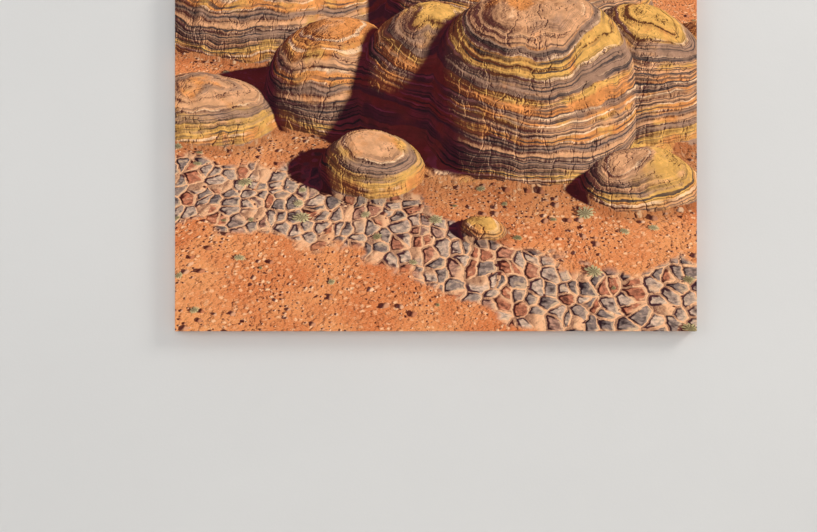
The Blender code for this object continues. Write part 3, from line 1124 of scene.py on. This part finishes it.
# %% Pine finish
EARLY_WOOD = (0.78, 0.58, 0.35)
LATE_WOOD = (0.55, 0.31, 0.13)
WARM_STREAK = (0.82, 0.74, 0.62)
KNOT_WOOD = (0.40, 0.20, 0.085)
KNOT_RIM = (0.13, 0.055, 0.025)


def pine(name, upright, shift, tint):
    """One board's pine: its own stretch of grain, and its own tint."""
    material, tree, shader = new_material(name, Specular_IOR_Level=0.3)
    where = put(tree, "TexCoord", "Object")
    x, y, z = (where.part(axis) for axis in "XYZ")
    place = vector(z, x, y) if upright else vector(x, z, y)
    wood = use(tree, grain, Place=place, Shift=shift)
    colour = mix(wood["Late"] * 0.75, EARLY_WOOD, LATE_WOOD) * tint
    streaks = noise(place * (1.0, 5.0, 5.0), 4.0, 3.0).ramp(0.35, 0.7)
    colour = mix(streaks * 0.5, colour, colour * WARM_STREAK)
    colour = mix(wood["Knot"] * 0.88, colour, mix(wood["Late"] * 0.6, KNOT_WOOD, KNOT_RIM))
    colour = colour * wood["Fibre"].ramp(0.3, 0.7, 0.86, 1.06)
    finish(shader, colour, wood["Fibre"].ramp(0.3, 0.7, 0.70, 0.54), wood["Height"], depth=0.00012)
    return material


def finish_nodes(start, material):
    """Gives a material to every CAD piece whose name starts so."""
    names = [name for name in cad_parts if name.startswith(start)]
    for name in names:
        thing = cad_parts[name]
        thing.data.materials.clear()
        thing.data.materials.append(material)
    print(material.name, "on", *names)


# %% Boards
BOARDS = {
    "bar_top": (1.0, 1.0, 1.0),
    "bar_bottom": (0.95, 0.93, 0.88),
    "bar_left": (1.03, 1.03, 1.03),
    "bar_right": (0.98, 0.94, 0.90),
    "brace": (1.05, 1.02, 0.96),
}
FIRST_STRETCH = 0.1
NEXT_STRETCH = 0.37
for number, (board, tint) in enumerate(BOARDS.items()):
    upright = board in ("bar_left", "bar_right", "brace")
    stretch = NEXT_STRETCH * number + FIRST_STRETCH
    finish_nodes(board, pine(f"pine_{board}", upright, stretch, tint))

# %% [markdown]
# ## Key wood
#
# The keys are small wedges sawn from beech: pale, even wood with short dark flecks along the grain.
# The grain group of the pine could serve again, but beech hardly shows rings on a piece as small as
# this. So noise that is stretched along one axis draws the flecks, and plain noise gives a saw's
# fine roughness.

# %% Keys
BEECH = (0.72, 0.52, 0.33)
BEECH_DARK = (0.60, 0.40, 0.23)
BEECH_FLECK = (0.33, 0.18, 0.09)


def key_wood():
    """Sawn beech."""
    material, tree, shader = new_material("beech_keys", Specular_IOR_Level=0.3)
    place = put(tree, "TexCoord", "Object")
    flecks = noise(place * (1.0, 0.25, 1.0), 1400.0, 1.0).ramp(0.60, 0.70)
    tone = noise(place, 55.0, 3.0)
    colour = mix(flecks * 0.6, mix(tone.ramp(0.3, 0.7), BEECH, BEECH_DARK), BEECH_FLECK)
    sawn = noise(place, 900.0, 3.0)
    finish(shader, colour, tone.ramp(0.3, 0.7, 0.58, 0.72), sawn, depth=0.00010)
    return material


finish_nodes("key_", key_wood())

# %% [markdown]
# ## Steel
#
# The hangers are stamped from zinc-plated strip, and the screws and staples are zinc plated too.
# Fresh zinc is a bluish grey that is bright where it rubs, with a faint blotchy bloom. One even
# metal could stand for it, but it would look like chrome, so the bloom changes its colour and its
# roughness together. Three finishes share it, so the bloom and the scratches are a node group, and
# each finish has its own tint and its own share of scratches.

# %% Zinc
SCRATCHED = (0.85, 0.85, 0.84)
BLOOM_SHADE = 0.72


def zinc_group():
    """Zinc plating on a place in metres: its bloom, fine scratches and height."""
    tree, (place, scratches) = new_group(
        "zinc", {"Bloom": float, "Scratch": float, "Height": float}, Place=ORIGIN, Scratches=1.0
    )
    bloom = noise(place, 260.0, 4.0, 0.6)
    lines = noise(place * (60.0, 900.0, 900.0), 1.0, 3.0, 0.7).ramp(0.55, 0.7) * scratches
    height = noise(place, 1500.0, 2.0) + lines * 0.4
    return close_group(tree, Bloom=bloom, Scratch=lines, Height=height)


zinc = zinc_group()


def zinc_plate(name, tint, rough, scratches):
    """A zinc-plated finish with its own tint, roughness and share of scratches."""
    material, tree, shader = new_material(name, Metallic=1.0)
    plating = use(tree, zinc, Place=put(tree, "TexCoord", "Object"), Scratches=scratches)
    dull = tuple(channel * BLOOM_SHADE for channel in tint)
    colour = mix(plating["Bloom"].ramp(0.35, 0.65), tint, dull)
    colour = mix(plating["Scratch"] * 0.5, colour, SCRATCHED)
    roughness = plating["Bloom"].ramp(0.3, 0.7, rough, rough + 0.16)
    finish(shader, colour, roughness, plating["Height"], depth=0.00002)
    return material


finish_nodes("hanger_", zinc_plate("zinc_hangers", (0.66, 0.67, 0.68), 0.28, 1.0))
finish_nodes("screw_", zinc_plate("zinc_screws", (0.74, 0.70, 0.58), 0.22, 0.4))

# %% [markdown]
# ## Rubber
#
# The bumpers are moulded in black rubber. It could be one even black, but that hides the shape of a
# piece and looks like a hole. Rubber is matt and picks up dust at once, so noise puts a thin grey
# dust on it, and the dusty spots are rougher.

# %% Rubber
RUBBER = (0.030, 0.029, 0.028)
DUST = (0.16, 0.15, 0.14)


def rubber():
    """Moulded black rubber with a little dust on it."""
    material, tree, shader = new_material("rubber_bumpers", Specular_IOR_Level=0.4)
    place = put(tree, "TexCoord", "Object")
    dust = noise(place, 320.0, 4.0, 0.6).ramp(0.5, 0.75)
    colour = mix(dust * 0.35, RUBBER, DUST)
    moulded = noise(place, 2500.0, 2.0)
    finish(shader, colour, dust.ramp(0.0, 1.0, 0.55, 0.85), moulded, depth=0.00004)
    return material


finish_nodes("bumper_", rubber())

# %% [markdown]
# ## Staples
#
# A staple gun shoots flat wire staples through the turned-over cloth into the wood. Each has a
# level crown, round shoulders and legs that vanish into the cloth. Instances of one staple would be
# lighter, but all of them as one mesh are still small, and are one piece to move. Each is a flat
# section swept along a path, and stands at a small random turn, because no hand puts every staple
# straight.

# %% Shape of a staple
CROWN = 0.0100
WIRE_WIDTH = 0.0012
WIRE_THICK = 0.0006
SHOULDER = 0.0010
STAPLE_SINK = 0.0018


def staple_path():
    """From one leg over the crown to the other: (along the crown, above the cloth)."""
    half, middle = CROWN / 2, CROWN / 2 - SHOULDER
    rise = WIRE_THICK - SHOULDER
    first = [(-middle - SHOULDER * cos(a), rise + SHOULDER * sin(a)) for a in QUARTER]
    last = [(-x, z) for x, z in reversed(first)]
    return [(-half, -STAPLE_SINK), *first, *last, (half, -STAPLE_SINK)]


def add_staple(form, place):
    """Sweeps the wire's section along the path."""
    points = [Vector(point) for point in staple_path()]
    rings = []
    for i, point in enumerate(points):
        ahead = points[min(i + 1, len(points) - 1)] - points[max(i - 1, 0)]
        normal = Vector((-ahead.y, ahead.x)).normalized()
        inner = point - normal * WIRE_THICK
        ring = [(point, -1), (point, 1), (inner, 1), (inner, -1)]
        corners = [Vector((p.x, side * WIRE_WIDTH / 2, p.y)) for p, side in ring]
        rings.append([form.verts.new(place @ corner) for corner in corners])
    for one, two in zip(rings, rings[1:]):
        for i in range(4):
            form.faces.new((one[i - 1], one[i], two[i], two[i - 1]))
    form.faces.new(rings[0])
    form.faces.new(rings[-1])


# %% Places of the staples
STAPLE_LINE = 0.0245
FIRST_STAPLE = 0.075
CORNER_STAPLE = 0.018
OVER_FOLD = 0.0006
CLEAR = 0.007
hardware = [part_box(name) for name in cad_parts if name.startswith(("hanger", "bumper"))]


def spaced(half):
    """Places one staple spacing apart, from -half to half."""
    return evenly(half, round(2 * half / STAPLE_SPACING))


def staple_spots():
    """(x, height over the cloth, z, turn) of each: rows along the edges, one across each fold."""
    spots = []
    for side in (-1, 1):
        high, wide = side * (HALF_HEIGHT - STAPLE_LINE), side * (HALF_WIDTH - STAPLE_LINE)
        spots += [(x, 0.0, high, 0.0) for x in spaced(HALF_WIDTH - FIRST_STAPLE)]
        spots += [(wide, 0.0, z, 90.0) for z in spaced(HALF_HEIGHT - FIRST_STAPLE)]
        for end in (-1, 1):
            x, z = side * (HALF_WIDTH - CORNER_STAPLE), end * (HALF_HEIGHT - CORNER_STAPLE)
            spots.append((x, OVER_FOLD, z, 45.0 * side * end))
    return spots


def is_free(x, z):
    """Whether a staple here stays clear of the hangers and bumpers."""
    return not any(
        low.x - CLEAR < x < high.x + CLEAR and low.z - CLEAR < z < high.z + CLEAR
        for low, high in hardware
    )


# %% Staples all round the back
UPRIGHT = Matrix.Rotation(radians(-90), 4, "X")
# how far a staple may stray along X and Z, in metres, and turn, in degrees
STRAY_X = 0.002
STRAY_Z = 0.0015
STRAY_TURN = 9


def staples():
    """All the staples, as one piece."""
    random, form, count = Random(7), bmesh.new(), 0
    for x, over, z, turn in staple_spots():
        if not is_free(x, z):
            continue
        x += random.uniform(-STRAY_X, STRAY_X)
        z += random.uniform(-STRAY_Z, STRAY_Z)
        turned = Matrix.Rotation(radians(turn + random.uniform(-STRAY_TURN, STRAY_TURN)), 4, "Y")
        add_staple(form, Matrix.Translation((x, BACK + over, z)) @ turned @ UPRIGHT)
        count += 1
    bmesh.ops.recalc_face_normals(form, faces=form.faces)
    mesh = bpy.data.meshes.new("staples")
    form.to_mesh(mesh)
    form.free()
    mesh.shade_smooth()
    mesh.set_sharp_from_angle(angle=CREASE)
    mesh.materials.append(zinc_plate("zinc_staples", (0.70, 0.70, 0.70), 0.24, 0.6))
    print(count, "staples")
    return new_object("staples", mesh)


staple_row = staples()
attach(staple_row, "root")

# %% [markdown]
# ## Wall and floor
#
# The print hangs on a pale wall over a pale floor. Plain walls would hide the back of the print and
# take its light, so both show only their front: from behind, the wall lets the view and the light
# through. It also lets through a ray that has only gone a few centimetres, because the back of the
# print lies that close to it. Backfacing and Light Path tell which ray is which, and a Mix Shader
# puts clear in the paint's place for those.

# %% Paint
WALL_COLOUR = (0.66, 0.65, 0.635)
FLOOR_COLOUR = (0.66, 0.645, 0.62)
# a ray that has gone less far than this goes through the paint
NEAR = 0.08


def one_sided(name, colour, grain_scale):
    """Paint that is clear from behind, to light that crosses it, and to what lies close to it."""
    material, tree, shader = new_material(name, Specular_IOR_Level=0.2)
    place = put(tree, "TexCoord", "Object")
    tone = noise(place, 1.4, 3.0).ramp(0.3, 0.7)
    paint = mix(tone, colour, tuple(channel * 0.97 for channel in colour))
    finish(shader, paint, 0.8, noise(place, grain_scale, 4.0, 0.6), depth=0.0002)
    behind = put(tree, "NewGeometry", "Backfacing")
    crossing = put(tree, "LightPath", "Is Shadow Ray")
    close_by = put(tree, "LightPath", "Ray Length").work("LESS_THAN", NEAR)
    unseen = behind.at_least(crossing).at_least(close_by)
    clear = tree.nodes.new("ShaderNodeBsdfTransparent")
    painted = tree.nodes.new("ShaderNodeMixShader")
    plug(painted.inputs[0], unseen)
    tree.links.new(shader.outputs[0], painted.inputs[1])
    tree.links.new(clear.outputs[0], painted.inputs[2])
    tree.links.new(painted.outputs[0], tree.nodes["Material Output"].inputs["Surface"])
    return material


# %% Wall and floor
FLOOR_HEIGHT = -1.55
WALL_GAP = 0.0005
STAGE_SIZE = 14


def backdrop(name, turn, position, material):
    """One large plane of the stage."""
    bpy.ops.mesh.primitive_plane_add(size=STAGE_SIZE, location=position, rotation=turn)
    thing = bpy.context.object
    thing.name = name
    thing.data.materials.append(material)
    print(name, "at", *position)


wall_middle = (0, WALL_GAP, FLOOR_HEIGHT + STAGE_SIZE / 2)
backdrop("wall", (radians(90), 0, 0), wall_middle, one_sided("wall_paint", WALL_COLOUR, 160.0))
floor_middle = (0, -STAGE_SIZE / 2, FLOOR_HEIGHT)
backdrop("floor", (0, 0, 0), floor_middle, one_sided("floor_paint", FLOOR_COLOUR, 60.0))

# %% [markdown]
# ## Light
#
# The main light is large and stands to the upper right in front, which puts a soft shadow on the
# wall to the left of the print and below it. A wide light in front and a weak one on the left lift
# that shadow, and two more behind the wall are for the back of the print. The sky all round is a
# plain pale grey. A panorama could light the scene too, but lamps of a known place and size let the
# shadow be set: the larger a lamp is, the softer is the edge of its shadow.

# %% Lights
# place, size in metres, watts and colour; each shines at the middle of the print
LIGHTS = {
    "key": ((4.2, -3.1, 2.95), 2.2, 145, (1.0, 0.97, 0.93)),
    "fill": ((-2.6, -3.4, 0.6), 2.4, 25, (0.95, 0.97, 1.0)),
    "front": ((0.2, -9.0, 1.0), 4.0, 215, ONES),
    "back_key": ((-1.6, 2.6, 1.8), 1.0, 52, ONES),
    "back_fill": ((2.2, 2.4, -0.4), 1.8, 22, ONES),
}
SKY = (0.86, 0.88, 0.90, 1.0)
SKY_STRENGTH = 0.52

for name, (position, size, watts, colour) in LIGHTS.items():
    lamp = bpy.data.lights.new(name, "AREA")
    lamp.shape = "DISK"
    lamp.size = size
    lamp.energy = watts
    lamp.color = colour
    light = new_object(name, lamp)
    light.location = position
    light.rotation_euler = (-Vector(position)).to_track_quat("-Z", "Y").to_euler()
print(len(LIGHTS), "lights")

world = bpy.data.worlds.new("studio")
bpy.context.scene.world = world
world.use_nodes = True
sky = world.node_tree.nodes["Background"]
plug(sky.inputs["Color"], SKY)
plug(sky.inputs["Strength"], SKY_STRENGTH)
bpy.context.scene.view_settings.view_transform = "Standard"

# %% [markdown]
# ## Camera
#
# The camera looks straight at the wall through a long lens, so the print's edges stay parallel to
# the frame. The print hangs high in the view, and its top edge lies just above it. The camera's
# distance could be found by trial, but the width of the view, the lens and the sensor give it, so
# it is worked out.

# %% Camera
VIEW_WIDTH = 1.878
VIEW_MIDDLE = (-0.063, -0.25)
LENS = 70.0
SENSOR = 36.0

camera = new_object("camera", bpy.data.cameras.new("camera"))
camera.data.lens = LENS
camera.data.sensor_width = SENSOR
camera.location = (VIEW_MIDDLE[0], FRONT - VIEW_WIDTH * LENS / SENSOR, VIEW_MIDDLE[1])
camera.rotation_euler = (radians(90), 0, 0)
bpy.context.scene.camera = camera
print("camera at", *camera.location)
